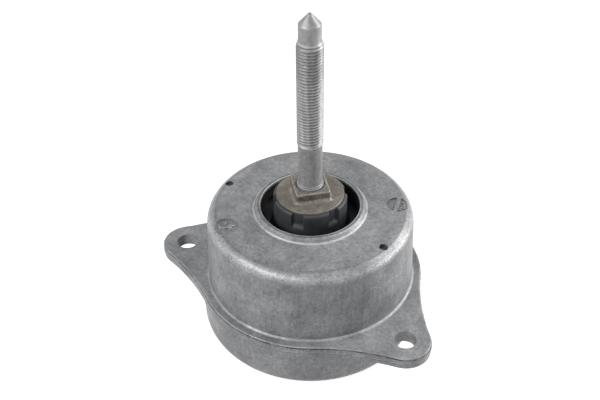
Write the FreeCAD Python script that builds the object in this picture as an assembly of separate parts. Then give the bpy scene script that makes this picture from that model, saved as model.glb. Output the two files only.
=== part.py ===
import FreeCAD, Part
import math
import os

# A hydraulic engine mount. Millimetres, +Z up along the stud, z = 0 at the foot of the housing, and X
# through the two ear holes. Heights that end in Z are measured from the foot. The housing and all it holds
# are one body; the core, its stud and its stop buffer ride on the rubber spring as a second body.

# clearances and joints
slipFit = 0.2          # between parts that drop into a bore
bondGap = 0.1          # room kept between the core and the rubber that carries it
contactGap = 0.3       # left between two stops at the end of the travel
reboundTravel = 3.7    # core upwards, until the buffer meets the roof
bumpTravel = 7.0       # core downwards, until its foot meets the nozzle plate

# housing: one casting, open below
bodyTopRadius = 48.5
bodyTaper = 1.4        # by how much the body is wider at the ledge than at the roof
bodyEdgeRound = 6.0
roofZ = 66.8
roofThickness = 4.8
ledgeWidth = 4.35
ledgeFillet = 1.2
flangeTopZ = 28.9
flangeThickness = 6.4
flangeStep = 0.25      # by how much the flange stands out of the skirt below it
skirtTaper = 1.2
rollStartZ = 12.5      # where the wall begins to be rolled in
rollRadius = 8.0
rollLipWidth = 4.5     # flat ring that the housing stands on
rollLipRound = 0.6
wallThickness = 3.4
shoulderZ = 24.0       # seat of the spring's outer ring
shoulderRound = 1.5
roofInnerRound = 3.0
holeRadius = 23.3
lipHeight = 2.4
lipFootRadius = 26.6
lipTopRadius = 25.3
lipRound = 0.7
lipFillet = 1.3
holeEdgeRound = 0.4

# ears
earHoleSpacing = 125.6
earHoleY = -17.8
earHoleRadius = 5.25
earTipRadius = 12.2
earFlankRadius = 110.0
earEdgeRound = 0.7

# parting line of the casting's die, a low band round the flange and the ears
partingZ = 26.7        # middle of the band
partingHeight = 2.8
partingStep = 0.2

# marks of the casting on the roof
dimpleRadius = 2.0
dimpleDepth = 1.6
dimpleX = 42.8
dimpleY = -5.8
stampRadius = 5.6
stampDepth = 0.4
stampX = -24.75
stampY = -32.65
dateRadius = 5.1
dateDepth = 0.8
dateX = 33.4
dateY = 24.0
dateBarWidth = 1.9
dateBarTurn = 107.8    # degrees from +X

# stack that is pushed up against the shoulder
ringThickness = 2.0
ringSleeveHeight = 16.0
ringBend = 1.2         # on the side of the shoulder
upperPlateThickness = 2.0
lowerPlateThickness = 4.5
channelWidth = 6.0
channelDepth = 3.2
channelEdge = 4.5      # metal between the channel and the plate's rim
channelSpan = 320.0    # degrees that the channel runs round
membraneRadius = 23.5
membraneThickness = 1.8
membranePlay = 0.2
gridHoleRadius = 2.5
gridPitchRadius = 14.0
gridHoleCount = 8
beadThickness = 2.0
beadWidth = 4.4
bellowsThickness = 1.6
bellowsDip = 7.0
bellowsRise = 3.0
bellowsFoldWidth = 7.0
bellowsFoldInset = 2.0
bellowsFoldSlope = 3.0
bellowsRound = 1.8
bellowsRingThickness = 1.5
capThickness = 2.0
capFloorZ = 1.0
capDishSlope = 3.0     # width of the sloping step round the dish
capDishRound = 2.0
ventRadius = 1.5

# rubber spring
springTopDrop = 1.5    # below the core's rebound flange
springTopWidth = 6.0
springEdgeDrop = 1.0   # below the top of the ring's sleeve
springFootWidth = 3.0  # lip that seals on the nozzle plate
springFootHeight = 3.0
springRound = 4.0

# core
discRadius = 15.8
discTopZ = 76.0
discThickness = 1.5
discEdgeRound = 0.4
neckRadius = 15.0
neckRootRound = 1.5
bossWidth = 16.0
bossHeight = 5.0
bossCornerRound = 1.2
bossTopRound = 0.9
bossFootFillet = 1.8
bossTurn = 45.0
seatBoreRadius = 6.75
seatBoreDepth = 7.0
reboundFlangeRadius = 31.0
reboundFlangeThickness = 3.0
reboundFlangeRound = 0.8
coneTopRadius = 21.5
coneFootRadius = 12.5
coreFootRound = 2.0

# stop buffer
buffRadius = 17.2
buffTopDrop = 1.0      # below the top of the disc
buffCoat = 2.0         # rubber over the rebound flange
buffRootRound = 2.5
buffEdgeRound = 1.2
buffRimRound = 1.2
notchCount = 6
notchWidth = 5.5
notchHeight = 7.0
notchFirstTurn = 43.0

# stud
threadRadius = 6.0
threadFootZ = 105.4
threadTopZ = 153.7
runOut = 2.5
shankRadius = 5.62
collarRadius = 6.25
collarTopZ = 81.9
collarRound = 0.3
beadOnCollarRadius = 5.95
beadOnCollarTopZ = 82.8
pilotRadius = 5.0
pilotFootZ = 156.7
tipZ = 168.5
tipConeHeight = 4.9
tipRadius = 0.7
tipRound = 0.5
pressedLength = 26.0
pressedChamfer = 1.0

# heights and radii that follow from the sizes above
bodyFootRadius = bodyTopRadius + bodyTaper
flangeRadius = bodyFootRadius + ledgeWidth
flangeFootZ = flangeTopZ - flangeThickness
skirtTopRadius = flangeRadius - flangeStep
skirtFootRadius = skirtTopRadius - skirtTaper
roofUnderZ = roofZ - roofThickness
upperBoreRadius = bodyTopRadius - wallThickness
lowerBoreRadius = skirtFootRadius - wallThickness
ringTopZ = shoulderZ
ringFootZ = ringTopZ - ringThickness
upperPlateFootZ = ringFootZ - upperPlateThickness
lowerPlateFootZ = upperPlateFootZ - lowerPlateThickness
beadFootZ = lowerPlateFootZ - beadThickness
capRimZ = beadFootZ - bellowsRingThickness
stackRadius = lowerBoreRadius - slipFit
rollFootRadius = skirtFootRadius - rollRadius
lipInnerRadius = rollFootRadius - rollLipWidth
sleeveRadius = upperBoreRadius - slipFit
sleeveInnerRadius = sleeveRadius - ringThickness
channelOuterRadius = stackRadius - channelEdge
channelInnerRadius = channelOuterRadius - channelWidth
coreFootZ = ringFootZ + bumpTravel + contactGap
buffFlangeTopZ = roofUnderZ - reboundTravel - contactGap
reboundTopZ = buffFlangeTopZ - buffCoat
reboundFootZ = reboundTopZ - reboundFlangeThickness
bossTopZ = discTopZ + bossHeight
seatZ = bossTopZ - seatBoreDepth
discFootZ = discTopZ - discThickness
studFootZ = seatZ - pressedLength


def upright(radius, height):
    return FreeCAD.Vector(radius, 0, height)


def level(x, y):
    return FreeCAD.Vector(x, y, 0)


# A closed wire through corners given as (a, b) or (a, b, round), where each round is a tangent arc.
def closedWire(corners, place):
    bends = []
    for index, corner in enumerate(corners):
        here = place(*corner[:2])
        if len(corner) == 2:
            bends.append((here, here, here))
            continue
        before = place(*corners[index - 1][:2]) - here
        after = place(*corners[(index + 1) % len(corners)][:2]) - here
        before.normalize()
        after.normalize()
        halfAngle = before.getAngle(after) / 2
        reach = corner[2] / math.tan(halfAngle)
        toMiddle = before + after
        toMiddle.normalize()
        middle = here + toMiddle * (corner[2] / math.sin(halfAngle) - corner[2])
        bends.append((here + before * reach, middle, here + after * reach))
    edges = []
    for index, (start, middle, end) in enumerate(bends):
        if (end - start).Length > 1e-6:
            edges.append(Part.Arc(start, middle, end).toShape())
        following = bends[(index + 1) % len(bends)][0]
        if (following - end).Length > 1e-6:
            edges.append(Part.LineSegment(end, following).toShape())
    return Part.Wire(edges)


# A solid turned about Z from corners of (radius, height).
def turned(corners, degrees=360, start=0):
    face = Part.Face(closedWire(corners, upright))
    face.rotate(FreeCAD.Vector(), FreeCAD.Vector(0, 0, 1), start)
    return face.revolve(FreeCAD.Vector(), FreeCAD.Vector(0, 0, 1), degrees)


# The corners of a sheet of even thickness along a path of (radius, height) or
# (radius, height, bend), where the bend is the radius of the sheet's middle.
def sheetCorners(path, thickness):
    half = thickness / 2
    sides = ([], [])
    for index, corner in enumerate(path):
        here = upright(*corner[:2])
        normals = []
        if index > 0:
            run = here - upright(*path[index - 1][:2])
            run.normalize()
            normals.append(FreeCAD.Vector(-run.z, 0, run.x))
        if index < len(path) - 1:
            run = upright(*path[index + 1][:2]) - here
            run.normalize()
            normals.append(FreeCAD.Vector(-run.z, 0, run.x))
        shift = (normals[0] + normals[-1]) / (1 + normals[0].dot(normals[-1]))
        turn = normals[0].cross(normals[-1]).y
        for side, sign in zip(sides, (1, -1)):
            moved = here + shift * (half * sign)
            if len(corner) == 3:
                side.append((moved.x, moved.z, corner[2] + (half if turn * sign > 0 else -half)))
            else:
                side.append((moved.x, moved.z))
    return sides[0] + sides[1][::-1]


def cylinder(radius, low, high, x=0, y=0):
    return Part.makeCylinder(radius, high - low, FreeCAD.Vector(x, y, low))


def placedAround(shape, count, first=0):
    copies = []
    for index in range(count):
        copy = shape.copy()
        copy.rotate(FreeCAD.Vector(), FreeCAD.Vector(0, 0, 1), first + index * 360 / count)
        copies.append(copy)
    return copies


# The outline of an ear, whose hollow flanks run tangent from the round of its tip
# to the round of the flange.
def earOutline(side, inset):
    hole = level(side * earHoleSpacing / 2, earHoleY)
    toFlange = flangeRadius + earFlankRadius
    toTip = earTipRadius + earFlankRadius
    along = (toFlange ** 2 - toTip ** 2 + hole.Length ** 2) / (2 * hole.Length)
    across = math.sqrt(toFlange ** 2 - along ** 2)
    outward = FreeCAD.Vector(hole).normalize()
    sideways = level(-outward.y, outward.x)
    rootRadius = flangeRadius - wallThickness / 2
    flanks = []
    roots = []
    tips = []
    for turn in (1, -1):
        centre = outward * along + sideways * (across * turn)
        root = centre * ((flangeRadius - inset) / toFlange)
        tip = hole + (centre - hole) * ((earTipRadius - inset) / toTip)
        toMiddle = (root + tip) / 2 - centre
        toMiddle.normalize()
        flanks.append(Part.Arc(root, centre + toMiddle * (earFlankRadius + inset), tip).toShape())
        roots.append(root)
        tips.append(tip)
    inner = [root * (rootRadius / root.Length) for root in roots]
    edges = flanks + [
        Part.Arc(tips[0], hole + outward * (earTipRadius - inset), tips[1]).toShape(),
        Part.LineSegment(roots[0], inner[0]).toShape(),
        Part.LineSegment(roots[1], inner[1]).toShape(),
        Part.Arc(inner[0], outward * rootRadius, inner[1]).toShape(),
    ]
    return Part.Face(Part.Wire(Part.__sortEdges__(edges)))


# One ear with rounded edges, and the parting band round it.
def ear(side):
    plate = earOutline(side, partingStep)
    plate.translate(FreeCAD.Vector(0, 0, flangeFootZ))
    solid = plate.extrude(FreeCAD.Vector(0, 0, flangeThickness))
    outer = []
    for edge in solid.Edges:
        middle = edge.valueAt((edge.FirstParameter + edge.LastParameter) / 2)
        isLevel = abs(edge.Vertexes[0].Z - edge.Vertexes[1].Z) < 1e-6
        if isLevel and math.hypot(middle.x, middle.y) > flangeRadius - partingStep - 1e-6:
            outer.append(edge)
    band = earOutline(side, 0)
    band.translate(FreeCAD.Vector(0, 0, partingZ - partingHeight / 2))
    return solid.makeFillet(earEdgeRound, outer).fuse(band.extrude(FreeCAD.Vector(0, 0, partingHeight)))


# A round recess in the roof, with an optional bar left across it.
def roofMark(radius, depth, x, y, barWidth=0, barTurn=0):
    mark = cylinder(radius, roofZ - depth, roofZ + 1)
    if barWidth:
        bar = Part.makeBox(2 * radius, barWidth, 2 * depth + 2)
        bar.translate(FreeCAD.Vector(-radius, -barWidth / 2, roofZ - 2 * depth))
        bar.rotate(FreeCAD.Vector(), FreeCAD.Vector(0, 0, 1), barTurn)
        mark = mark.cut(bar)
    mark.translate(level(x, y))
    return mark


def housing():
    plainRadius = flangeRadius - partingStep
    shell = turned([
        (lipInnerRadius, 0, rollLipRound),
        (skirtFootRadius, 0, rollRadius),
        (skirtFootRadius, rollStartZ),
        (skirtTopRadius, flangeFootZ),
        (plainRadius, flangeFootZ),
        (plainRadius, partingZ - partingHeight / 2),
        (flangeRadius, partingZ - partingHeight / 2),
        (flangeRadius, partingZ + partingHeight / 2),
        (plainRadius, partingZ + partingHeight / 2),
        (plainRadius, flangeTopZ, earEdgeRound),
        (bodyFootRadius, flangeTopZ, ledgeFillet),
        (bodyTopRadius, roofZ, bodyEdgeRound),
        (lipFootRadius, roofZ, lipFillet),
        (lipTopRadius, roofZ + lipHeight, lipRound),
        (holeRadius, roofZ + lipHeight, holeEdgeRound),
        (holeRadius, roofUnderZ, holeEdgeRound),
        (upperBoreRadius, roofUnderZ, roofInnerRound),
        (upperBoreRadius, shoulderZ, shoulderRound),
        (lowerBoreRadius, shoulderZ),
        (lowerBoreRadius, wallThickness, rollRadius - wallThickness),
        (lipInnerRadius, wallThickness, rollLipRound),
    ])
    casting = shell.fuse([ear(1), ear(-1)]).removeSplitter()
    cuts = []
    for side in (1, -1):
        x = side * earHoleSpacing / 2
        cuts.append(cylinder(earHoleRadius, flangeFootZ - 1, flangeTopZ + 1, x, earHoleY))
        cuts.append(cylinder(dimpleRadius, roofZ - dimpleDepth, roofZ + 1, side * dimpleX, dimpleY))
    cuts.append(roofMark(stampRadius, stampDepth, stampX, stampY))
    cuts.append(roofMark(dateRadius, dateDepth, dateX, dateY, dateBarWidth, dateBarTurn))
    return casting.cut(cuts)


# Pressed dish with an upturned rim, held by the housing's rolled edge.
def bottomCap():
    half = capThickness / 2
    seatMiddleZ = wallThickness + half
    stepRadius = lipInnerRadius - slipFit - half
    rimRadius = stackRadius - half
    dish = turned(sheetCorners([
        (0, capFloorZ + half),
        (stepRadius - capDishSlope, capFloorZ + half, capDishRound),
        (stepRadius, seatMiddleZ, capDishRound),
        (rimRadius, seatMiddleZ, rollRadius - wallThickness - slipFit + half),
        (rimRadius, capRimZ),
    ], capThickness))
    return dish.cut(cylinder(ventRadius, capFloorZ - 1, capFloorZ + 2 * capThickness))


# Flat ring that spreads the pressure of the cap's rim over the bead of the bellows.
def bellowsRing():
    return turned([
        (stackRadius - beadWidth, capRimZ),
        (stackRadius, capRimZ),
        (stackRadius, beadFootZ),
        (stackRadius - beadWidth, beadFootZ),
    ])


# Rolling rubber skin below the nozzle plates, with a thick bead round it.
def bellows():
    beadInner = stackRadius - beadWidth
    skinZ = beadFootZ + beadThickness / 2
    foldOuter = beadInner - bellowsFoldInset
    foldInner = foldOuter - bellowsFoldSlope - bellowsFoldWidth
    bead = turned([
        (beadInner, beadFootZ),
        (stackRadius, beadFootZ),
        (stackRadius, lowerPlateFootZ),
        (beadInner, lowerPlateFootZ),
    ])
    skin = turned(sheetCorners([
        (0, skinZ - bellowsDip + bellowsRise),
        (foldInner - bellowsFoldSlope, skinZ - bellowsDip + bellowsRise, bellowsRound),
        (foldInner, skinZ - bellowsDip, bellowsRound),
        (foldOuter - bellowsFoldSlope, skinZ - bellowsDip, bellowsRound),
        (foldOuter, skinZ, bellowsRound),
        (beadInner + beadWidth / 2, skinZ),
    ], bellowsThickness))
    return bead.fuse(skin).removeSplitter()


def gridHoles(low, high):
    ring = placedAround(cylinder(gridHoleRadius, low, high, gridPitchRadius), gridHoleCount)
    return ring + [cylinder(gridHoleRadius, low, high)]


# A slot across the channel, at the given turn round Z.
def channelPort(low, high, degrees):
    slot = cylinder(channelWidth / 2, low, high, (channelInnerRadius + channelOuterRadius) / 2)
    slot.rotate(FreeCAD.Vector(), FreeCAD.Vector(0, 0, 1), degrees)
    return slot


def portTurn():
    middleRadius = (channelInnerRadius + channelOuterRadius) / 2
    return math.degrees(channelWidth / 2 / middleRadius)


# Holds the long annular channel that links the two fluid chambers, and the pocket of the membrane.
def lowerNozzlePlate():
    plate = cylinder(stackRadius, lowerPlateFootZ, upperPlateFootZ)
    channel = turned([
        (channelInnerRadius, upperPlateFootZ - channelDepth),
        (channelOuterRadius, upperPlateFootZ - channelDepth),
        (channelOuterRadius, upperPlateFootZ + 1),
        (channelInnerRadius, upperPlateFootZ + 1),
    ], channelSpan)
    pocketDepth = membraneThickness + 2 * membranePlay
    pocket = cylinder(membraneRadius + membranePlay, upperPlateFootZ - pocketDepth, upperPlateFootZ + 1)
    port = channelPort(lowerPlateFootZ - 1, upperPlateFootZ, channelSpan - portTurn())
    return plate.cut([channel, pocket, port] + gridHoles(lowerPlateFootZ - 1, upperPlateFootZ))


def upperNozzlePlate():
    plate = cylinder(stackRadius, upperPlateFootZ, ringFootZ)
    port = channelPort(upperPlateFootZ - 1, ringFootZ + 1, portTurn())
    return plate.cut([port] + gridHoles(upperPlateFootZ - 1, ringFootZ + 1))


def decouplerMembrane():
    topZ = upperPlateFootZ - membranePlay
    return cylinder(membraneRadius, topZ - membraneThickness, topZ)


# Flanged sleeve that the rubber spring is bonded into; its flange is clamped against the housing's shoulder.
def outerRing():
    half = ringThickness / 2
    return turned(sheetCorners([
        (stackRadius, ringFootZ + half),
        (sleeveRadius - half, ringFootZ + half, ringBend + half),
        (sleeveRadius - half, ringTopZ + ringSleeveHeight),
    ], ringThickness))


# Radius of the core's bonding cone at a height.
def coneRadius(height):
    share = (height - coreFootZ) / (reboundFootZ - coreFootZ)
    return coneFootRadius + (coneTopRadius - coneFootRadius) * share


# Thick cone of rubber between the core and the outer ring, with a sealing lip on the nozzle plate.
def rubberSpring():
    topZ = reboundFootZ - springTopDrop
    footZ = coreFootZ + coreFootRound
    edgeZ = ringTopZ + ringSleeveHeight - springEdgeDrop
    topRadius = coneRadius(topZ) + bondGap
    return turned([
        (coneRadius(footZ) + bondGap, footZ),
        (sleeveInnerRadius - springFootWidth, ringFootZ + springFootHeight, springRound / 2),
        (sleeveInnerRadius - springFootWidth, ringFootZ),
        (sleeveInnerRadius, ringFootZ),
        (sleeveInnerRadius, edgeZ),
        (topRadius + springTopWidth, topZ, springRound),
        (topRadius, topZ),
    ])


# Square boss that keeps the bracket from turning, on its disc, neck, rebound flange and bonding cone.
def core():
    body = turned([
        (0, coreFootZ),
        (coneFootRadius, coreFootZ, coreFootRound),
        (coneTopRadius, reboundFootZ),
        (reboundFlangeRadius, reboundFootZ),
        (reboundFlangeRadius, reboundTopZ, reboundFlangeRound),
        (neckRadius, reboundTopZ, neckRootRound),
        (neckRadius, discFootZ),
        (discRadius, discFootZ),
        (discRadius, discTopZ, discEdgeRound),
        (0, discTopZ),
    ])
    half = bossWidth / 2
    square = [(half, half), (-half, half), (-half, -half), (half, -half)]
    outline = closedWire([corner + (bossCornerRound,) for corner in square], level)
    boss = Part.Face(outline).extrude(FreeCAD.Vector(0, 0, bossHeight + discThickness))
    topEdges = [edge for edge in boss.Edges if edge.BoundBox.ZMin > bossHeight]
    boss = boss.makeFillet(bossTopRound, topEdges)
    boss.rotate(FreeCAD.Vector(), FreeCAD.Vector(0, 0, 1), bossTurn)
    boss.translate(FreeCAD.Vector(0, 0, discTopZ - discThickness))
    seat = cylinder(seatBoreRadius, seatZ, bossTopZ + 1)
    pressBore = cylinder(threadRadius, studFootZ, seatZ + 1)
    whole = body.fuse(boss).removeSplitter()
    footEdges = []
    for edge in whole.Edges:
        box = edge.BoundBox
        reach = max(box.XMax, box.YMax, -box.XMin, -box.YMin)
        if abs(box.ZMin - discTopZ) + abs(box.ZMax - discTopZ) < 1e-4 and reach < bossWidth:
            footEdges.append(edge)
    return whole.makeFillet(bossFootFillet, footEdges).cut([seat, pressBore])


# Rubber cuff round the disc and neck, with the coat on the rebound flange.
def stopBuffer():
    topZ = discTopZ - buffTopDrop
    cuff = turned([
        (neckRadius, discFootZ),
        (neckRadius, reboundTopZ, neckRootRound),
        (reboundFlangeRadius, reboundTopZ, reboundFlangeRound),
        (reboundFlangeRadius, reboundFootZ),
        (reboundFlangeRadius + buffCoat, reboundFootZ),
        (reboundFlangeRadius + buffCoat, buffFlangeTopZ, buffRimRound),
        (buffRadius, buffFlangeTopZ, buffRootRound),
        (buffRadius, topZ, buffEdgeRound),
        (discRadius, topZ),
        (discRadius, discFootZ),
    ])
    span = math.degrees(notchWidth / buffRadius)
    notch = turned([
        (discRadius, topZ - notchHeight),
        (buffRadius + buffCoat, topZ - notchHeight),
        (buffRadius + buffCoat, topZ + 1),
        (discRadius, topZ + 1),
    ], span, notchFirstTurn - span / 2)
    return cuff.cut(placedAround(notch, notchCount))


# Stud pressed into the core, with its collar in the boss; its fine thread is left plain at full diameter.
def stud():
    return turned([
        (0, studFootZ),
        (threadRadius - pressedChamfer, studFootZ),
        (threadRadius, studFootZ + pressedChamfer),
        (threadRadius, seatZ),
        (collarRadius, seatZ),
        (collarRadius, collarTopZ, collarRound),
        (beadOnCollarRadius, collarTopZ),
        (beadOnCollarRadius, beadOnCollarTopZ, (beadOnCollarRadius - shankRadius) * 0.9),
        (shankRadius, beadOnCollarTopZ),
        (shankRadius, threadFootZ - runOut),
        (threadRadius, threadFootZ),
        (threadRadius, threadTopZ),
        (pilotRadius, pilotFootZ),
        (pilotRadius, tipZ - tipConeHeight),
        (tipRadius, tipZ, tipRound),
        (0, tipZ),
    ])


pieces = {
    "housing": housing,
    "bottom_cap": bottomCap,
    "bellows_ring": bellowsRing,
    "bellows": bellows,
    "lower_nozzle_plate": lowerNozzlePlate,
    "decoupler_membrane": decouplerMembrane,
    "upper_nozzle_plate": upperNozzlePlate,
    "outer_ring": outerRing,
    "rubber_spring": rubberSpring,
    "core": core,
    "stop_buffer": stopBuffer,
    "stud": stud,
}

os.makedirs("parts", exist_ok=True)
for name, make in pieces.items():
    shape = make()
    shape.exportStep("parts/" + name + ".step")
    print(name, shape.isValid(), len(shape.Solids), round(shape.Volume / 1000, 2), "cm3")
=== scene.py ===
import bpy
import bmesh
import math
from mathutils import Matrix, Vector, noise

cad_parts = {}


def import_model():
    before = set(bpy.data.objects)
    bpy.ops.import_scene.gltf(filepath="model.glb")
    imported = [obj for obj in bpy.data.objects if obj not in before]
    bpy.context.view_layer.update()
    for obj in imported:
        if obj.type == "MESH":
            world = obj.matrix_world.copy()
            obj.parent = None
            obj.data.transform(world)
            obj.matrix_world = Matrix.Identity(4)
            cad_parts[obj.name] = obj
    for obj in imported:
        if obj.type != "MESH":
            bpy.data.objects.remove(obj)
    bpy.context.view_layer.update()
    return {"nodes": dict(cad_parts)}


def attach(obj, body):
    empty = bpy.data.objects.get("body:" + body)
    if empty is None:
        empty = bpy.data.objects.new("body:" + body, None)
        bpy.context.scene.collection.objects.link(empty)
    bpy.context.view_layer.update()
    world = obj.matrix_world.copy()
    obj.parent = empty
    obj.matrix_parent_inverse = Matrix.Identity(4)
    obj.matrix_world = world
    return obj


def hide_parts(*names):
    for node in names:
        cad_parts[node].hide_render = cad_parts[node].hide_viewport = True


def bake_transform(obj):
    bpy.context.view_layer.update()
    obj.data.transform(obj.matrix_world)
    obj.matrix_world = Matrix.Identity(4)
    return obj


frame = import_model()
print("frame loaded:", len(frame["nodes"]), "nodes")

mm = 0.001    # sizes are in millimetres, +Z runs up along the stud
tiny = 1e-6    # whatever is shorter counts as nothing


# Camera, floor and lights

cameraSetup = {
    "aim": (-4.0, -2.6, 71.1),
    "distance": 466.9,
    "azimuth": 33.75,       # degrees round from -Y towards +X
    "elevation": 38.86,
    "roll": -0.6,
    "lens": 60.0,
    "sensor": 36.0,
    "clip": (0.01, 20.0),   # metres
}


# A direction from the object, in degrees round from -Y towards +X and up from the floor.
def directionOf(azimuth, elevation):
    azimuth = math.radians(azimuth)
    elevation = math.radians(elevation)
    return Vector((
        math.sin(azimuth) * math.cos(elevation),
        -math.cos(azimuth) * math.cos(elevation),
        math.sin(elevation),
    ))


def makeCamera(setup):
    back = directionOf(setup["azimuth"], setup["elevation"])
    data = bpy.data.cameras.new("mountCamera")
    data.lens = setup["lens"]
    data.sensor_width = setup["sensor"]
    data.clip_start, data.clip_end = setup["clip"]
    camera = bpy.data.objects.new("mountCamera", data)
    bpy.context.collection.objects.link(camera)
    place = Matrix.Translation((Vector(setup["aim"]) + back * setup["distance"]) * mm)
    turn = back.to_track_quat("Z", "Y").to_matrix().to_4x4()
    camera.matrix_world = place @ turn @ Matrix.Rotation(math.radians(setup["roll"]), 4, "Z")
    bpy.context.scene.camera = camera


makeCamera(cameraSetup)
bpy.context.scene.view_settings.view_transform = "Standard"
print("camera set")

# turn is in degrees round from the camera, size is width and height in metres
lightSetup = {
    "sky": 0.02,
    "aim": (0, 0, 55),
    "distance": 0.9,
    "colour": (1.0, 0.992, 0.98),
    "boxes": {
        "leftBox": {"turn": -56, "rise": 40, "size": (1.0, 0.38), "watts": 7.8},
        "rightBox": {"turn": 112, "rise": 38, "size": (0.45, 0.45), "watts": 5.3},
        "lowBox": {"turn": 95, "rise": 8, "size": (0.5, 0.3), "watts": 4.8},
    },
}


# Adds one shader node. Each input is a number, a colour or the output of another node.
def addNode(tree, kind, inputs, **settings):
    node = tree.nodes.new("ShaderNode" + kind)
    for name, value in settings.items():
        setattr(node, name, value)
    for name, value in inputs.items():
        if isinstance(value, bpy.types.NodeSocket):
            tree.links.new(value, node.inputs[name])
        else:
            node.inputs[name].default_value = value
    return node


def calc(tree, operation, first, second=0.0):
    return addNode(tree, "Math", {0: first, 1: second}, operation=operation).outputs[0]


def lengthOf(tree, vector):
    return addNode(tree, "VectorMath", {0: vector}, operation="LENGTH").outputs["Value"]


# Maps a value from one range to another, held at both ends.
def remap(tree, value, fromLow, fromHigh, toLow, toHigh):
    return addNode(tree, "MapRange", {
        "Value": value, "From Min": fromLow, "From Max": fromHigh, "To Min": toLow, "To Max": toHigh,
    }).outputs["Result"]


# One where the surface is looked at, straight or in a mirror or through glass.
def lookedAt(tree):
    path = addNode(tree, "LightPath", {})
    seen = calc(tree, "MAXIMUM", path.outputs["Is Camera Ray"], path.outputs["Is Glossy Ray"])
    return calc(tree, "MAXIMUM", seen, path.outputs["Is Transmission Ray"])


# White for whoever looks at it, and the plain strength for the light that it gives.
def makeSky(strength):
    world = bpy.data.worlds.new("studioSky")
    bpy.context.scene.world = world
    world.use_nodes = True
    tree = world.node_tree
    background = tree.nodes["Background"]
    background.inputs["Color"].default_value = (1, 1, 1, 1)
    level = remap(tree, lookedAt(tree), 0.0, 1.0, strength, 1.0)
    tree.links.new(level, background.inputs["Strength"])


def makeLights(setup):
    makeSky(setup["sky"])
    for name, box in setup["boxes"].items():
        data = bpy.data.lights.new(name, "AREA")
        data.shape = "RECTANGLE"
        data.size, data.size_y = box["size"]
        data.energy = box["watts"]
        data.color = setup["colour"]
        away = directionOf(cameraSetup["azimuth"] + box["turn"], box["rise"])
        light = bpy.data.objects.new(name, data)
        bpy.context.collection.objects.link(light)
        light.location = Vector(setup["aim"]) * mm + away * setup["distance"]
        light.rotation_euler = away.to_track_quat("Z", "Y").to_euler()


makeLights(lightSetup)
print("lights set")


floorSetup = {
    "width": 6.0,
    "paper": (0.42, 0.42, 0.42, 1),
    "drop": 0.0002,            # below the foot, so that the two faces don't mix
    "glow": (0.86, 1.0),       # near the object, where its shadow shows, and further out
    "glowReach": (0.35, 0.8),  # metres from the stud's axis
}


def makeFloor(setup):
    bpy.ops.mesh.primitive_plane_add(size=setup["width"], location=(0, 0, -setup["drop"]))
    floor = bpy.context.object
    floor.name = "studioFloor"
    material = bpy.data.materials.new("whitePaperFloor")
    material.use_nodes = True
    tree = material.node_tree
    tree.nodes.clear()
    paper = addNode(tree, "BsdfDiffuse", {"Color": setup["paper"]})
    place = addNode(tree, "NewGeometry", {}).outputs["Position"]
    away = lengthOf(tree, place)
    strength = remap(tree, away, *setup["glowReach"], *setup["glow"])
    glow = addNode(tree, "Emission", {"Strength": strength})
    both = addNode(tree, "AddShader", {0: paper.outputs[0], 1: glow.outputs[0]})
    mix = addNode(tree, "MixShader", {0: lookedAt(tree), 1: paper.outputs[0], 2: both.outputs[0]})
    addNode(tree, "OutputMaterial", {"Surface": mix.outputs[0]})
    floor.data.materials.append(material)


makeFloor(floorSetup)
print("floor set")


# Building blocks of the finishes

def newMaterial(name, **values):
    material = bpy.data.materials.new(name)
    material.use_nodes = True
    shader = material.node_tree.nodes["Principled BSDF"]
    for socket, value in values.items():
        shader.inputs[socket.replace("_", " ")].default_value = value
    return material, material.node_tree, shader


def noiseOf(tree, place, perMetre, detail):
    return addNode(tree, "TexNoise", {"Vector": place, "Scale": perMetre, "Detail": detail}).outputs[0]


# One at middle, down to nothing at middle plus or minus width.
def bandMask(tree, value, middle, width):
    away = calc(tree, "ABSOLUTE", calc(tree, "SUBTRACT", value, middle))
    return remap(tree, away, 0.0, width, 1.0, 0.0)


# The same for sizes in millimetres.
def nearSize(tree, value, middle, half):
    return bandMask(tree, value, middle * mm, half * mm)


# Grows from nothing to one between two sizes in millimetres.
def beyond(tree, value, sizes):
    return remap(tree, value, sizes[0] * mm, sizes[1] * mm, 0.0, 1.0)


def before(tree, value, sizes):
    return remap(tree, value, sizes[0] * mm, sizes[1] * mm, 1.0, 0.0)


# One inside a circle or ball, in millimetres, with a soft edge.
def insideMask(tree, place, centre, radius, soft):
    middle = [size * mm for size in centre]
    away = addNode(tree, "VectorMath", {0: place, 1: middle}, operation="DISTANCE").outputs["Value"]
    return before(tree, away, (radius - soft, radius))


# The colour for a value from 0 to 1, with the given colours spread evenly over it.
def shades(tree, value, *colours):
    node = addNode(tree, "ValToRGB", {0: value})
    ramp = node.color_ramp
    while len(ramp.elements) < len(colours):
        ramp.elements.new(0.5)
    for index, (element, colour) in enumerate(zip(ramp.elements, colours)):
        element.position = index / (len(colours) - 1)
        element.color = (*colour, 1)
    return node.outputs[0]


def sumOf(tree, start, *terms):
    total = start
    for term in terms:
        total = calc(tree, "ADD", total, term)
    return total


def product(tree, first, *factors):
    result = first
    for factor in factors:
        result = calc(tree, "MULTIPLY", result, factor)
    return result


# Place, height, distance from the stud's axis, how far the surface faces up, and the place on the floor.
def surfaceOf(tree):
    place = addNode(tree, "TexCoord", {}).outputs["Object"]
    x, y, z = addNode(tree, "SeparateXYZ", {0: place}).outputs
    flat = addNode(tree, "CombineXYZ", {0: x, 1: y}).outputs[0]
    far = lengthOf(tree, flat)
    normal = addNode(tree, "NewGeometry", {}).outputs["Normal"]
    facing = addNode(tree, "SeparateXYZ", {0: normal}).outputs[2]
    return place, z, far, facing, flat


# A noise about zero, times its weight.
def wave(tree, place, perMetre, weight, detail=3.0):
    centred = calc(tree, "SUBTRACT", noiseOf(tree, place, perMetre, detail), 0.5)
    return calc(tree, "MULTIPLY", centred, weight)


def waves(tree, place, pairs):
    return [wave(tree, place, perMetre, weight) for perMetre, weight in pairs]


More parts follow.
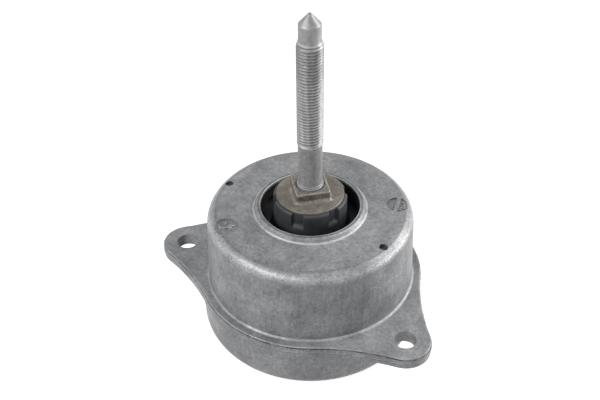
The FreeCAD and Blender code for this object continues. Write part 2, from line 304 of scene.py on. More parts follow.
# Breaks a mask up. The noise from low to high gives least to one.
def patchy(tree, place, perMetre, detail, low, high, least):
    return remap(tree, noiseOf(tree, place, perMetre, detail), low, high, least, 1.0)


def stretched(tree, place, scale):
    return addNode(tree, "VectorMath", {0: place, 1: scale}, operation="MULTIPLY").outputs[0]


def setBump(tree, shader, height, depth):
    bump = addNode(tree, "Bump", {"Height": height, "Distance": depth * mm})
    tree.links.new(bump.outputs["Normal"], shader.inputs["Normal"])


# In each finish, a wave is its cells a metre and its weight, patches are what patchy takes, a pair of
# heights or radii is where a mask begins and ends, and facing is 1 on top and 0 on upright faces.

castFinish = {
    "metallic": 0.2,
    "specular": 0.3,
    "dark": (0.080, 0.082, 0.087),
    "middle": (0.250, 0.255, 0.264),
    "bright": (0.480, 0.486, 0.497),
    "mottle": ((1700.0, 0.8), (520.0, 0.55), (110.0, 0.6), (36.0, 0.4)),
    "wallFacing": (0.2, 0.5),          # where the wall ends, and where nothing is left of it
    "streaks": (700.0, 0.34, 5.0),     # drawn down the wall by the die: a wave and its detail
    "streakScale": (0.05, 0.12),       # round the wall and up it
    # cells a metre, detail, and the noise at which a pore begins and is deepest
    "pores": (800.0, 2.0, 0.62, 0.72),
    "poreShade": -0.2,
    "porePatches": (60.0, 2.0, 0.42, 0.6, 0.25),
    "creaseHighlight": 0.95,                   # painted highlight along the creases at the foot of the wall and of the lip
    "creaseHighlightPatches": (70.0, 2.0, 0.35, 0.6, 0.35),
    "ledgeHeight": (29.7, 0.7),        # middle and half width
    "ledgeRadius": (50.5, 1.2),
    "creaseRadius": (26.7, 0.6),
    "creaseHeight": (66.5, 66.8),
    "roundHighlight": 0.38,                 # painted highlight along the roof's round edge
    "roundGlints": (1300.0, 1.3),     # painted glints in that highlight
    "roundGloss": -0.19,
    "roundGrain": (2000.0, 1.1),
    "roundFacing": (0.55, 0.42),       # middle and half width
    "roundHeight": (60.0, 61.0),
    "roundRadius": (30.0, 31.0),
    "shoulder": -0.26,                 # painted shade in a ring just inside that edge
    "shoulderPatches": (110.0, 3.0, 0.35, 0.6, 0.3),
    "shoulderFacing": (0.95, 0.046),
    "shoulderHeight": (64.5, 65.0),
    "shoulderRadius": (40.0, 40.5),
    # radius, half width and weight of the painted highlight and painted shade rings on the lip round the
    # opening
    "lipLightAndShadeRings": ((23.6, 0.45, 0.5), (24.3, 0.7, -0.3), (25.6, 0.8, 0.12)),
    "lipRingHeight": (67.2, 67.6),
    # height, half height and weight of the painted shadow lines under the parting flash and of the
    # painted highlight on the crests above them
    "flashShadowAndHighlightLines": ((28.1, 0.45, -0.95), (28.65, 0.3, 0.2), (25.2, 0.45, -0.95), (25.75, 0.3, 0.3)),
    "flashRadius": (51.7, 52.1),
    "flashPatches": (190.0, 3.0, 0.38, 0.6, 0.1),
    "earHoles": ((62.8, -17.8), (-62.8, -17.8)),
    "earHoleReach": (6.3, 0.4),        # radius and soft edge
    # x, y, radius and weight of the painted shade in the recesses in the roof
    "recessShades": (
        (-24.75, -32.65, 5.7, -0.26),
        (33.4, 24.0, 5.2, -0.15),
        (42.8, -5.8, 2.2, -0.6),
        (-42.8, -5.8, 2.2, -0.6),
    ),
    "recessEdge": 0.3,
    "recessFoot": (64.0, 64.5),
    "recessTop": (66.2, 66.7),
    "darkening": 0.1,                  # the wall of the opening darkened to this share
    "darkeningRadius": (23.8, 23.9),
    "darkeningHeight": (67.7, 68.2),
    "roughness": 0.42,
    "glossWaves": ((700.0, 0.2), (120.0, 0.16)),
    "grainDepth": 0.16,
    "grainWaves": ((1500.0, 0.35), (460.0, 0.5)),
    # coarse skin on the edge beside the stamp
    "coarseCentre": (-25.5, -39.3, 64.3),
    "coarseReach": (9.0, 4.0),
    "coarseGrain": (700.0, 6.0),
}


def makeCastAluminium(finish):
    material, tree, shader = newMaterial(
        "castAluminium", Metallic=finish["metallic"], Specular_IOR_Level=finish["specular"])
    place, z, far, facing, flat = surfaceOf(tree)

    # masks for the parts of the casting
    onWall = remap(tree, calc(tree, "ABSOLUTE", facing), *finish["wallFacing"], 1.0, 0.0)
    onRound = product(
        tree, bandMask(tree, facing, *finish["roundFacing"]), beyond(tree, z, finish["roundHeight"]),
        beyond(tree, far, finish["roundRadius"]))
    onShoulder = product(
        tree, bandMask(tree, facing, *finish["shoulderFacing"]),
        beyond(tree, z, finish["shoulderHeight"]), beyond(tree, far, finish["shoulderRadius"]),
        patchy(tree, place, *finish["shoulderPatches"]))
    atLedge = product(
        tree, nearSize(tree, z, *finish["ledgeHeight"]), nearSize(tree, far, *finish["ledgeRadius"]))
    atLip = product(
        tree, nearSize(tree, far, *finish["creaseRadius"]), beyond(tree, z, finish["creaseHeight"]))
    onLip = beyond(tree, z, finish["lipRingHeight"])
    inRoof = product(tree, beyond(tree, z, finish["recessFoot"]), before(tree, z, finish["recessTop"]))
    inOpening = product(
        tree, before(tree, far, finish["darkeningRadius"]), before(tree, z, finish["darkeningHeight"]))
    onCoarse = insideMask(tree, place, finish["coarseCentre"], *finish["coarseReach"])
    onFlash = product(
        tree, beyond(tree, far, finish["flashRadius"]), patchy(tree, place, *finish["flashPatches"]))
    for x, y in finish["earHoles"]:
        inHole = insideMask(tree, flat, (x, y, 0), *finish["earHoleReach"])
        onFlash = product(tree, onFlash, calc(tree, "SUBTRACT", 1.0, inHole))

    # streaks in coordinates that run round the wall and up it
    x, y = addNode(tree, "SeparateXYZ", {0: place}).outputs[:2]
    roundScale, upScale = finish["streakScale"]
    turn = product(tree, calc(tree, "ARCTAN2", y, x), roundScale)
    drawn = addNode(tree, "CombineXYZ", {0: turn, 1: product(tree, z, upScale)}).outputs[0]
    perMetre, detail, start, deepest = finish["pores"]
    pores = remap(
        tree, noiseOf(tree, place, perMetre, detail), start, deepest, 0.0, finish["poreShade"])
    terms = waves(tree, place, finish["mottle"]) + [
        product(tree, wave(tree, drawn, *finish["streaks"]), onWall),
        product(tree, pores, patchy(tree, place, *finish["porePatches"])),
        # painted highlight along the creases at the foot of the wall, on the ledge and at the lip
        product(
            tree, calc(tree, "MAXIMUM", atLedge, atLip),
            patchy(tree, place, *finish["creaseHighlightPatches"]), finish["creaseHighlight"]),
        # painted highlight with painted glints on the roof's round edge
        product(
            tree, sumOf(tree, finish["roundHighlight"], wave(tree, place, *finish["roundGlints"])),
            onRound),
        # painted shade in the ring just inside the round edge
        product(tree, onShoulder, finish["shoulder"]),
    ]
    # painted highlight and painted shade rings on the lip
    for radius, half, weight in finish["lipLightAndShadeRings"]:
        terms.append(product(tree, nearSize(tree, far, radius, half), onLip, weight))
    # painted shadow under each flash and painted highlight on its crest
    for height, half, weight in finish["flashShadowAndHighlightLines"]:
        terms.append(product(tree, nearSize(tree, z, height, half), onFlash, weight))
    # painted shade in the recesses of the roof
    for x, y, radius, weight in finish["recessShades"]:
        recess = insideMask(tree, flat, (x, y, 0), radius, finish["recessEdge"])
        terms.append(product(tree, recess, inRoof, weight))
    colour = shades(tree, sumOf(tree, 0.5, *terms), finish["dark"], finish["middle"], finish["bright"])
    # darker on the wall of the opening
    shade = remap(tree, inOpening, 0.0, 1.0, 1.0, finish["darkening"])
    colour = addNode(tree, "VectorMath", {0: colour, "Scale": shade}, operation="SCALE").outputs[0]
    tree.links.new(colour, shader.inputs["Base Color"])

    gloss = sumOf(
        tree, finish["roughness"], *waves(tree, place, finish["glossWaves"]),
        product(tree, onRound, finish["roundGloss"]))
    tree.links.new(gloss, shader.inputs["Roughness"])
    grain = sumOf(
        tree, *waves(tree, place, finish["grainWaves"]),
        product(tree, wave(tree, place, *finish["roundGrain"]), onRound),
        product(tree, wave(tree, place, *finish["coarseGrain"]), onCoarse))
    setBump(tree, shader, grain, finish["grainDepth"])
    return material


studFinish = {
    "metallic": 0.3,
    "specular": 0.4,
    "darkest": (0.060, 0.061, 0.063),
    "middle": (0.290, 0.293, 0.298),
    "bright": (0.540, 0.545, 0.552),
    "mottle": ((1500.0, 0.45), (400.0, 0.35)),
    "drawnScale": (1, 1, 0.15),        # marks run along the stud
    "drawnMarks": (700.0, 0.35),
    "threadFoot": (104.2, 104.7),
    "threadTop": (153.8, 154.2),
    "threadGloss": -0.05,
    "grooves": (5.2, 5.95),            # radius of the painted shade in the grooves and of the painted highlight on the crests
    "grooveShadeAndCrestHighlight": (-0.14, 0.2),
    "darkeningHeight": (138.2, 138.8),
    "darkening": -0.24,
    # height, half height and weight of the painted highlight and shade rings at the thread's top, and of
    # the edge of the coat
    "rings": ((155.6, 0.5, 0.4), (154.8, 0.3, -0.4), (154.1, 0.35, 0.3), (138.2, 0.5, -0.22)),
    "roughness": 0.42,
    "glossWave": (500.0, 0.2),
    "grainDepth": 0.05,
    "grainWave": (1100.0, 1.0),
    "drawnGrain": (900.0, 0.6),
}


def makeZincPlate(finish):
    material, tree, shader = newMaterial(
        "zincPlate", Metallic=finish["metallic"], Specular_IOR_Level=finish["specular"])
    place, z, far = surfaceOf(tree)[:3]
    low, high = finish["grooves"]
    inThread = product(
        tree, beyond(tree, z, finish["threadFoot"]), before(tree, z, finish["threadTop"]))
    coated = product(tree, beyond(tree, z, finish["darkeningHeight"]), finish["darkening"])
    drawn = stretched(tree, place, finish["drawnScale"])
    terms = waves(tree, place, finish["mottle"]) + [
        wave(tree, drawn, *finish["drawnMarks"]),
        # painted shade in the thread's grooves and painted highlight on its crests
        product(tree, remap(tree, far, low * mm, high * mm, *finish["grooveShadeAndCrestHighlight"]), inThread),
        product(tree, inThread, coated),
    ]
    # painted highlight and shade rings at the thread's top, and the coat's edge
    for height, half, weight in finish["rings"]:
        terms.append(product(tree, nearSize(tree, z, height, half), weight))
    colour = shades(tree, sumOf(tree, 0.5, *terms), finish["darkest"], finish["middle"], finish["bright"])
    tree.links.new(colour, shader.inputs["Base Color"])
    gloss = sumOf(
        tree, finish["roughness"], wave(tree, place, *finish["glossWave"]),
        product(tree, inThread, finish["threadGloss"]))
    tree.links.new(gloss, shader.inputs["Roughness"])
    grain = sumOf(
        tree, wave(tree, place, *finish["grainWave"]), wave(tree, drawn, *finish["drawnGrain"]))
    setBump(tree, shader, grain, finish["grainDepth"])
    return material


chromateFinish = {
    "metallic": 0.35,
    "specular": 0.3,
    "dark": (0.050, 0.044, 0.036),
    "middle": (0.192, 0.176, 0.150),
    "bare": (0.450, 0.420, 0.370),
    "mottle": ((1700.0, 0.7), (500.0, 0.5), (110.0, 0.5)),
    "slantFacing": (0.5, 0.5),         # the rounded edges, middle and half width
    "wearPatches": (300.0, 3.0, 0.3, 0.6, 0.2),
    "edgeHeight": (81.0, 0.8),         # top edges of the boss
    # worn through along the top edges, and lightened further as painted highlight
    "edgeWearAndHighlight": 0.6,
    "footHeight": (76.5, 1.2),
    "footWear": 0.12,
    "faceFacing": (0.1, 0.3),          # upright faces of the boss
    "faceHeight": (76.5, 77.0),
    # painted shade on those upright faces
    "faceShade": -0.1,
    "brushScale": (0.25, 0.25, 1),
    "brushMarks": (1300.0, 0.9),
    "rimRadius": (15.0, 15.6),
    "rimShade": -0.06,
    "roughness": 0.46,
    "glossWave": (500.0, 0.3),
    "grainDepth": 0.1,
    "grainWave": (1000.0, 1.0),
}


# A dull film over the casting, worn through along the edges of the boss; its top edges are lightened
# further as painted highlight.
def makeChromate(finish):
    material, tree, shader = newMaterial(
        "wornChromate", Metallic=finish["metallic"], Specular_IOR_Level=finish["specular"])
    place, z, far, facing = surfaceOf(tree)[:4]
    slanted = bandMask(tree, facing, *finish["slantFacing"])
    atTop = product(tree, nearSize(tree, z, *finish["edgeHeight"]), slanted, finish["edgeWearAndHighlight"])
    atFoot = product(tree, nearSize(tree, z, *finish["footHeight"]), slanted, finish["footWear"])
    onFace = product(
        tree, remap(tree, facing, *finish["faceFacing"], 1.0, 0.0),
        beyond(tree, z, finish["faceHeight"]))
    brushed = wave(tree, stretched(tree, place, finish["brushScale"]), *finish["brushMarks"])
    pattern = sumOf(
        tree, 0.5, *waves(tree, place, finish["mottle"]),
        product(tree, sumOf(tree, atTop, atFoot), patchy(tree, place, *finish["wearPatches"])),
        product(tree, sumOf(tree, brushed, finish["faceShade"]), onFace),
        product(tree, beyond(tree, far, finish["rimRadius"]), finish["rimShade"]))
    colour = shades(tree, pattern, finish["dark"], finish["middle"], finish["bare"])
    tree.links.new(colour, shader.inputs["Base Color"])
    gloss = sumOf(tree, finish["roughness"], wave(tree, place, *finish["glossWave"]))
    tree.links.new(gloss, shader.inputs["Roughness"])
    setBump(tree, shader, wave(tree, place, *finish["grainWave"]), finish["grainDepth"])
    return material


rubberWaves = {
    "mottle": ((900.0, 0.6), (130.0, 0.9)),
    "glossWave": (260.0, 0.3),
    "grainWave": (1100.0, 1.0),
}

metalWaves = {
    "mottle": ((1400.0, 0.7), (300.0, 0.6), (70.0, 0.5)),
    "glossWave": (500.0, 0.3),
    "grainWave": (1000.0, 1.0),
}

plainFinishes = {
    "bufferRubber": {
        "waves": rubberWaves,
        "specular": 0.35,
        "metallic": 0.0,
        "dark": (0.020, 0.0215, 0.024),
        "bright": (0.064, 0.067, 0.073),
        "roughness": 0.48,
        "grainDepth": 0.08,
    },
    "springRubber": {
        "waves": rubberWaves,
        "specular": 0.35,
        "metallic": 0.0,
        "dark": (0.008, 0.008, 0.008),
        "bright": (0.02, 0.02, 0.02),
        "roughness": 0.6,
        "grainDepth": 0.08,
    },
    "bellowsRubber": {
        "waves": rubberWaves,
        "specular": 0.35,
        "metallic": 0.0,
        "dark": (0.01, 0.01, 0.01),
        "bright": (0.03, 0.03, 0.03),
        "roughness": 0.5,
        "grainDepth": 0.08,
    },
    "pressedSteel": {
        "waves": metalWaves,
        "specular": 0.5,
        "metallic": 0.7,
        "dark": (0.22, 0.22, 0.22),
        "bright": (0.38, 0.38, 0.38),
        "roughness": 0.4,
        "grainDepth": 0.05,
    },
    "plateAluminium": {
        "waves": metalWaves,
        "specular": 0.5,
        "metallic": 0.7,
        "dark": (0.35, 0.36, 0.37),
        "bright": (0.55, 0.56, 0.57),
        "roughness": 0.35,
        "grainDepth": 0.05,
    },
}


def makePlainFinish(name, finish):
    material, tree, shader = newMaterial(
        name, Metallic=finish["metallic"], Specular_IOR_Level=finish["specular"])
    place = surfaceOf(tree)[0]
    kind = finish["waves"]
    pattern = sumOf(tree, 0.5, *waves(tree, place, kind["mottle"]))
    colour = shades(tree, pattern, finish["dark"], finish["bright"])
    tree.links.new(colour, shader.inputs["Base Color"])
    gloss = sumOf(tree, finish["roughness"], wave(tree, place, *kind["glossWave"]))
    tree.links.new(gloss, shader.inputs["Roughness"])
    setBump(tree, shader, wave(tree, place, *kind["grainWave"]), finish["grainDepth"])
    return material


finishes = {name: makePlainFinish(name, finish) for name, finish in plainFinishes.items()}
finishes["castAluminium"] = makeCastAluminium(castFinish)
finishes["zincPlate"] = makeZincPlate(studFinish)
finishes["wornChromate"] = makeChromate(chromateFinish)
print("made", len(finishes), "finishes")

nodeFinishes = {
    "housing": "castAluminium",
    "bottom_cap": "pressedSteel",
    "bellows_ring": "pressedSteel",
    "bellows": "bellowsRubber",
    "lower_nozzle_plate": "plateAluminium",
    "decoupler_membrane": "bellowsRubber",
    "upper_nozzle_plate": "pressedSteel",
    "outer_ring": "pressedSteel",
    "rubber_spring": "springRubber",
    "core": "wornChromate",
    "stop_buffer": "bufferRubber",
    "stud": "zincPlate",
}

for node, finish in nodeFinishes.items():
    data = frame["nodes"][node].data
    data.materials.clear()
    data.materials.append(finishes[finish])
print("finishes on", len(nodeFinishes), "nodes")


# Building blocks of the shapes

# Points of (radius, height) corners, where a third number rounds the corner off.
def roundedProfile(corners, steps=6):
    points = []
    for index, corner in enumerate(corners):
        here = Vector(corner[:2])
        if len(corner) == 2:
            points.append(here)
            continue
        back = (Vector(corners[index - 1][:2]) - here).normalized()
        ahead = (Vector(corners[(index + 1) % len(corners)][:2]) - here).normalized()
        half = back.angle(ahead) / 2
        centre = here + (back + ahead).normalized() * corner[2] / math.sin(half)
        start = here + back * corner[2] / math.tan(half) - centre
        end = here + ahead * corner[2] / math.tan(half) - centre
        bend = start.angle_signed(end)
        for step in range(steps + 1):
            points.append(centre + Matrix.Rotation(-bend * step / steps, 2) @ start)
    return points


# The same line with no run longer than the given length.
def divided(points, longest, closed=False):
    result = []
    following = points[1:] + (points[:1] if closed else [])
    for start, end in zip(points, following):
        count = max(1, math.ceil((end - start).length / longest))
        result += [start.lerp(end, step / count) for step in range(count)]
    return result if closed else result + [points[-1]]


def fractions(count):
    return [2 * math.pi * index / count for index in range(count)]


# Turns a profile round the stud's axis; shape may move a point by its radius, height and angle.
def turnedMesh(points, angles, shape, closed=False):
    build = bmesh.new()
    rings = []
    for radius, height in points:
        if radius < tiny:
            rings.append([build.verts.new((0, 0, height * mm))])
            continue
        ring = []
        for angle in angles:
            far, high = shape(radius, height, angle)
            place = Vector((far * math.cos(angle), far * math.sin(angle), high))
            ring.append(build.verts.new(place * mm))
        rings.append(ring)
    count = len(angles)
    for low, high in zip(rings, rings[1:] + (rings[:1] if closed else [])):
        for index in range(count):
            after = (index + 1) % count
            face = [low[index % len(low)], low[after % len(low)]]
            face += [high[after % len(high)], high[index % len(high)]]
            build.faces.new(list(dict.fromkeys(face)))
    return build


# Joins rings of equal length with faces.
def joinRings(build, pairs):
    for low, high in pairs:
        for index in range(len(low)):
            after = (index + 1) % len(low)
            build.faces.new((low[index], low[after], high[after], high[index]))


def makePiece(name, build, finish, body, sharpFrom=40):
    bmesh.ops.recalc_face_normals(build, faces=build.faces)
    data = bpy.data.meshes.new(name)
    build.to_mesh(data)
    build.free()
    data.materials.append(finishes[finish])
    data.polygons.foreach_set("use_smooth", [True] * len(data.polygons))
    data.set_sharp_from_angle(angle=math.radians(sharpFrom))
    piece = bpy.data.objects.new(name, data)
    bpy.context.collection.objects.link(piece)
    if body:
        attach(piece, body)
    print("made", name, len(data.polygons), "faces")
    return piece


def smoothStep(value, low, high):
    part = min(1.0, max(0.0, (value - low) / (high - low)))
    return part * part * (3 - 2 * part)


# Stud with its rolled fine thread

threadedStud = {
    "radius": 6.0,
    "pitch": 1.5,
    "depth": 0.82,
    "crest": 0.16,         # flat part of the crest, as a share of the pitch
    "root": 0.22,
    "foot": 104.4,
    "top": 153.7,
    "chamferTop": 156.7,
    "fadeIn": 0.9,         # height over which the thread starts
    "coatFoot": 138.2,     # locking coat from here up
    "coatFill": 0.3,       # share of the groove that the coat fills
    "rowsPerPitch": 12,
    "columns": 96,
    "pressFoot": 48.0,     # end that is pressed into the core
    "pressChamfer": 1.0,
    "pressTop": 74.0,
    "collarRadius": 6.25,
    "collarTop": 81.9,
    "collarRound": 0.3,
    "neckRadius": 5.95,
    "neckTop": 82.8,
    "neckRound": 0.28,
    "shankRadius": 5.62,
    "runIn": 1.5,          # cone between the shank and the thread
    "pilotRadius": 5.0,
    "pilotTop": 163.6,
    "pointRadius": 0.7,
    "pointZ": 168.5,
    "pointRound": 0.5,
}


def makeStud(setup):
    radius = setup["radius"]
    foot = setup["foot"]
    top = setup["chamferTop"]
    pressFoot = setup["pressFoot"]
    chamfer = setup["pressChamfer"]
    collar = setup["collarRadius"]
    neck = setup["neckRadius"]
    shank = setup["shankRadius"]
    pilot = setup["pilotRadius"]
    corners = [
        (0, pressFoot),
        (radius - chamfer, pressFoot),
        (radius, pressFoot + chamfer),
        (radius, setup["pressTop"]),
        (collar, setup["pressTop"]),
        (collar, setup["collarTop"], setup["collarRound"]),
        (neck, setup["collarTop"]),
        (neck, setup["neckTop"], setup["neckRound"]),
        (shank, setup["neckTop"]),
        (shank, foot - setup["runIn"]),
        (radius, foot),
        (radius, setup["top"]),
        (pilot, top),
        (pilot, setup["pilotTop"]),
        (setup["pointRadius"], setup["pointZ"], setup["pointRound"]),
        (0, setup["pointZ"]),
    ]
    points = roundedProfile(corners)
    thread = [point for point in points if foot - 0.1 < point.y < top + 0.1]
    first = points.index(thread[0])
    rows = divided(thread, setup["pitch"] / setup["rowsPerPitch"])
    points[first:first + len(thread)] = rows

    def threadShape(far, high, angle):
        if not foot < high < top:
            return far, high
        phase = (high / setup["pitch"] - angle / (2 * math.pi)) % 1.0
        flank = (abs(phase - 0.5) * 2 - setup["crest"]) / (1 - setup["crest"] - setup["root"])
        depth = setup["depth"] * min(1.0, max(0.0, flank))
        depth *= smoothStep(high, foot, foot + setup["fadeIn"])
        if high > setup["coatFoot"]:
            depth *= 1 - setup["coatFill"]
        return min(far, radius - depth), high

    build = turnedMesh(points, fractions(setup["columns"]), threadShape)
    piece = makePiece("threadedStud", build, "zincPlate", "core_body")
    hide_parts("stud")


makeStud(threadedStud)


# Rubber cuff round the disc, notched at its rim

bufferCuff = {
    "radius": 17.2,
    "discRadius": 15.8,
    "rim": 75.0,
    "rimRound": 1.2,
    "neckRadius": 15.0,    # of the core below the disc
    "neckTop": 74.5,
    "foot": 56.0,
    "neckRound": 1.5,
    "flangeTop": 58.0,
    "flangeRound": 2.5,
    "skirtRadius": 31.0,
    "skirtRound": 0.8,
    "edgeRadius": 33.0,
    "edgeFoot": 53.0,
    "edgeFootRound": 0.4,
    "edgeTopRound": 1.2,
    "notches": 6,
    "firstNotch": 43.0,    # degrees
    "notchWidth": 5.5,
    "notchHeight": 7.0,
    "notchRound": 0.35,
    "notchSlope": 1.5,     # half the height over which the foot of a notch comes out
    "notchSkin": 0.03,     # rubber left over the disc's radius in a notch
    "longest": 0.7,
    "columns": 180,
}


def makeCuff(setup):
    outer = setup["radius"]
    inner = setup["discRadius"]
    rim = setup["rim"]
    neck = setup["neckRadius"]
    skirt = setup["skirtRadius"]
    edge = setup["edgeRadius"]
    corners = [
        (neck, setup["neckTop"]),
        (neck, setup["foot"], setup["neckRound"]),
        (skirt, setup["foot"], setup["skirtRound"]),
        (skirt, setup["edgeFoot"]),
        (edge, setup["edgeFoot"], setup["edgeFootRound"]),
        (edge, setup["flangeTop"], setup["edgeTopRound"]),
        (outer, setup["flangeTop"], setup["flangeRound"]),
        (outer, rim, setup["rimRound"]),
        (inner, rim),
        (inner, setup["neckTop"]),
    ]
    middles = [math.radians(setup["firstNotch"]) + turn for turn in fractions(setup["notches"])]
    halfWidth = setup["notchWidth"] / 2
    soft = setup["notchRound"]
    slope = setup["notchSlope"]
    notchFoot = rim - setup["notchHeight"]
    angles = set(fractions(setup["columns"]))
    for middle in middles:
        for side in (-1, 1):
            for step in (-1.0, -0.35, 0.35, 1.0):    # columns on each notch's edges
                angles.add((middle + (side * halfWidth + step * soft) / outer) % (2 * math.pi))

    def notchShape(far, high, angle):
        turns = [abs((angle - middle + math.pi) % (2 * math.pi) - math.pi) for middle in middles]
        cut = 1 - smoothStep(min(turns) * outer, halfWidth - soft, halfWidth + soft)
        cut *= smoothStep(high, notchFoot - slope, notchFoot + slope)
        return far - cut * max(0.0, far - inner - setup["notchSkin"]), high

    points = divided(roundedProfile(corners), setup["longest"], closed=True)
    build = turnedMesh(points, sorted(angles), notchShape, closed=True)
    piece = makePiece("bufferCuff", build, "bufferRubber", "core_body")
    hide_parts("stop_buffer")


makeCuff(bufferCuff)


# Rubber spring between the core's cone and the outer ring

springSkin = {
    "coreFoot": 29.3,
    "coreFootRadius": 12.5,
    "coreTop": 53.0,
    "coreTopRadius": 21.5,
    "gap": 0.1,
    "bondFoot": 2.0,       # from the core's foot up to the rubber
    "bondTop": 1.5,        # from the rubber up to the core's shoulder
    "sleeve": 42.9,
    "foot": 22.0,
    "sleeveTop": 39.0,
    "heel": 3.0,           # rubber on the sleeve's foot, and its rounding
    "heelRound": 2.0,
    "topWidth": 6.0,       # level part round the core
    "topRound": 4.0,
    "longest": 1.5,
    "columns": 120,
    "ripple": 0.12,        # slack in the moulded face
    "rippleEdge": 0.5,     # kept off the bonded faces
    "rippleTurns": 3.0,
    "rippleHeight": 0.05,
}


def makeSpring(setup):
    slope = (setup["coreTopRadius"] - setup["coreFootRadius"]) / (setup["coreTop"] - setup["coreFoot"])

    def cone(height):
        return setup["coreFootRadius"] + slope * (height - setup["coreFoot"]) + setup["gap"]

    low = setup["coreFoot"] + setup["bondFoot"]
    high = setup["coreTop"] - setup["bondTop"]
    sleeve = setup["sleeve"]
    foot = setup["foot"]
    heel = setup["heel"]
    corners = [
        (cone(low), low),
        (sleeve - heel, foot + heel, setup["heelRound"]),
        (sleeve - heel, foot),
        (sleeve, foot),
        (sleeve, setup["sleeveTop"]),
        (cone(high) + setup["topWidth"], high, setup["topRound"]),
        (cone(high), high),
    ]

    def slack(far, height, angle):
        if not cone(height) + setup["rippleEdge"] < far < sleeve - setup["rippleEdge"]:
            return far, height
        spot = Vector((math.cos(angle), math.sin(angle), height * setup["rippleHeight"]))
        return far, height + setup["ripple"] * noise.noise(spot * setup["rippleTurns"])

    points = divided(roundedProfile(corners), setup["longest"], closed=True)
    build = turnedMesh(points, fractions(setup["columns"]), slack, closed=True)
    piece = makePiece("springSkin", build, "springRubber", None)
    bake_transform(piece)
    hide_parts("rubber_spring")


makeSpring(springSkin)


# Flash along the die's parting line, round the flange and the ears

partingFlash = {
    "step": 0.9,           # length of one stretch
    "easing": 2,
    "sharpFrom": 80,       # degrees
    "cells": 0.35,         # of the coarse noise, a millimetre
    "finer": 3.1,          # times as many for the fine noise
    "reach": (0.75, 1.1, 0.5),    # shares that are even, coarse and fine
    "sway": 0.8,           # of the half height
    "swayScale": 0.6,
    # outwards in millimetres, then shares of how far it stands out and of the half height
    "section": (
        (-0.3, 0, 0),
        (-0.1, 0, -1),
        (0, 0.7, -0.5),
        (0, 1, 0.05),
        (0, 0.6, 0.55),
        (-0.1, 0, 1),
    ),
    "lines": {
        # height, half height, how far it stands out
        "upperFlash": (28.45, 0.22, 0.2),
        "lowerFlash": (25.5, 0.22, 0.2),
    },
}


# The longest closed line in which a level plane cuts a solid.
def outlineAt(node, height):
    build = bmesh.new()
    build.from_mesh(frame["nodes"][node].data)
    bmesh.ops.remove_doubles(build, verts=build.verts, dist=tiny)
    cut = bmesh.ops.bisect_plane(
        build, geom=build.verts[:] + build.edges[:] + build.faces[:],
        plane_co=(0, 0, height * mm), plane_no=(0, 0, 1))["geom_cut"]
    edges = dict.fromkeys(item for item in cut if isinstance(item, bmesh.types.BMEdge))    # in order
    longest = []
    while edges:
        edge = edges.popitem()[0]
        line = [edge.verts[0], edge.verts[1]]
        ahead = edge
        while ahead:
            ahead = next((item for item in line[-1].link_edges if item in edges), None)
            if ahead:
                del edges[ahead]
                line.append(ahead.other_vert(line[-1]))
        points = [vertex.co.xy / mm for vertex in line[:-1]]
        reach = max(point.length for point in points)
        if not longest or reach > max(point.length for point in longest):
            longest = points
    build.free()
    return longest


# Points at even steps along a closed line, eased so that its facets don't show.
def evenSteps(points, step, easing):
    ring = points + points[:1]
    lengths = [(b - a).length for a, b in zip(ring, ring[1:])]
    count = round(sum(lengths) / step)
    spacing = sum(lengths) / count
    result = []
    index = 0
    passed = 0.0
    for number in range(count):
        while passed + lengths[index] < number * spacing:
            passed += lengths[index]
            index += 1
        share = (number * spacing - passed) / max(lengths[index], tiny)
        result.append(ring[index].lerp(ring[index + 1], share))
    for _ in range(easing):
        result = [(result[i - 1] + result[i] * 2 + result[(i + 1) % count]) / 4 for i in range(count)]
    return result


def makeFlash(setup):
    even, coarse, fine = setup["reach"]
    for name, (height, half, proud) in setup["lines"].items():
        points = evenSteps(outlineAt("housing", height), setup["step"], setup["easing"])
        count = len(points)
        area = sum(points[i - 1].cross(points[i]) for i in range(count))
        build = bmesh.new()
        rings = []
        for index, point in enumerate(points):
            along = (points[(index + 1) % count] - points[index - 1]).normalized()
            outwards = Vector((along.y, -along.x)) * (1 if area > 0 else -1)
            seed = Vector((point.x, point.y, height)) * setup["cells"]
            uneven = coarse * noise.noise(seed) + fine * noise.noise(seed * setup["finer"])
            out = proud * (even + uneven)
            sway = noise.noise(seed * setup["swayScale"] + Vector((9, 0, 0)))    # 9 sets it apart
            middle = height + half * setup["sway"] * sway
            ring = []
            for inwards, share, high in setup["section"]:
                place = point + outwards * (inwards + out * share)
                spot = Vector((place.x, place.y, middle + half * high))
                ring.append(build.verts.new(spot * mm))
            rings.append(ring)
        joinRings(build, zip(rings, rings[1:] + rings[:1]))
        makePiece(name, build, "castAluminium", "housing_body", setup["sharpFrom"])


makeFlash(partingFlash)


# Raised pads in the two round marks on the roof

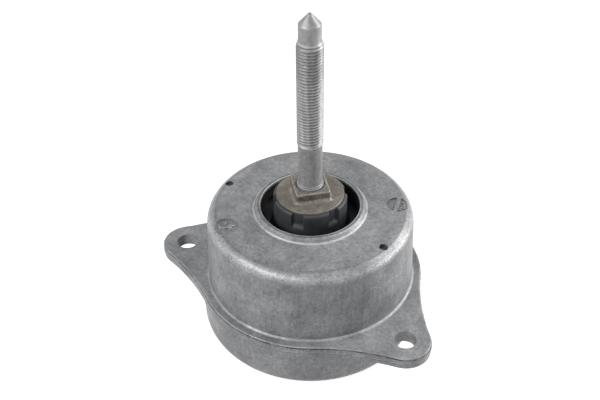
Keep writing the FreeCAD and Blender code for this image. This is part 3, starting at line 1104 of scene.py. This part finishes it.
roofMarks = {
    "stampRelief": {
        "foot": 66.2,
        # x, y, length, width, degrees from +X, top
        "pads": [
            (-24.9, -33.2, 6.6, 1.2, 38, 66.95),
            (-23.2, -30.2, 3.2, 0.9, 20, 66.85),
            (-26.6, -30.8, 2.2, 1.2, 100, 66.9),
            (-22.2, -33.0, 2.0, 1.1, 70, 66.8),
            (-27.6, -33.8, 2.0, 1.0, -10, 66.8),
        ],
    },
    "dateRelief": {
        "foot": 65.8,
        "pads": [
            (36.2, 21.7, 2.4, 0.8, 15, 66.75),
            (36.6, 23.4, 2.6, 0.8, 18, 66.7),
            (36.2, 25.2, 2.0, 0.8, 100, 66.7),
            (34.9, 26.9, 1.2, 0.8, 40, 66.6),
        ],
    },
}


padShape = {
    "sharpFrom": 60,       # degrees
    "levels": (0.25, 0.06),      # below the top, where the side ends and where the crown begins
    "shares": (1.0, 0.95, 0.72, 0.35),    # of the half width, from the foot up
    "stepsRound": 6,
    "wear": 0.07,
    "wearScale": 1.3,
}


# A worn oblong with round ends.
def addPad(build, x, y, length, width, turn, top, foot):
    half = width / 2
    straight = length / 2 - half
    middle = Matrix.Translation((x, y, 0)) @ Matrix.Rotation(math.radians(turn), 4, "Z")
    side, crown = padShape["levels"]
    steps = padShape["stepsRound"]
    rings = []
    for share, high in zip(padShape["shares"], (foot, top - side, top - crown, top)):
        ring = []
        for end in (1, -1):
            for step in range(steps + 1):
                angle = math.pi * (step / steps - 0.5)
                reach = straight + half * share * math.cos(angle)
                spot = Vector((end * reach, end * half * share * math.sin(angle), high))
                seed = Vector((x + spot.x, y + spot.y, high)) * padShape["wearScale"]
                spot.z += padShape["wear"] * noise.noise(seed)
                ring.append(build.verts.new((middle @ spot) * mm))
        rings.append(ring)
    joinRings(build, zip(rings, rings[1:]))
    build.faces.new(rings[-1])
    build.faces.new(list(reversed(rings[0])))


def makeRoofMarks(marks):
    for name, mark in marks.items():
        build = bmesh.new()
        for pad in mark["pads"]:
            addPad(build, *pad, mark["foot"])
        makePiece(name, build, "castAluminium", "housing_body", padShape["sharpFrom"])


makeRoofMarks(roofMarks)
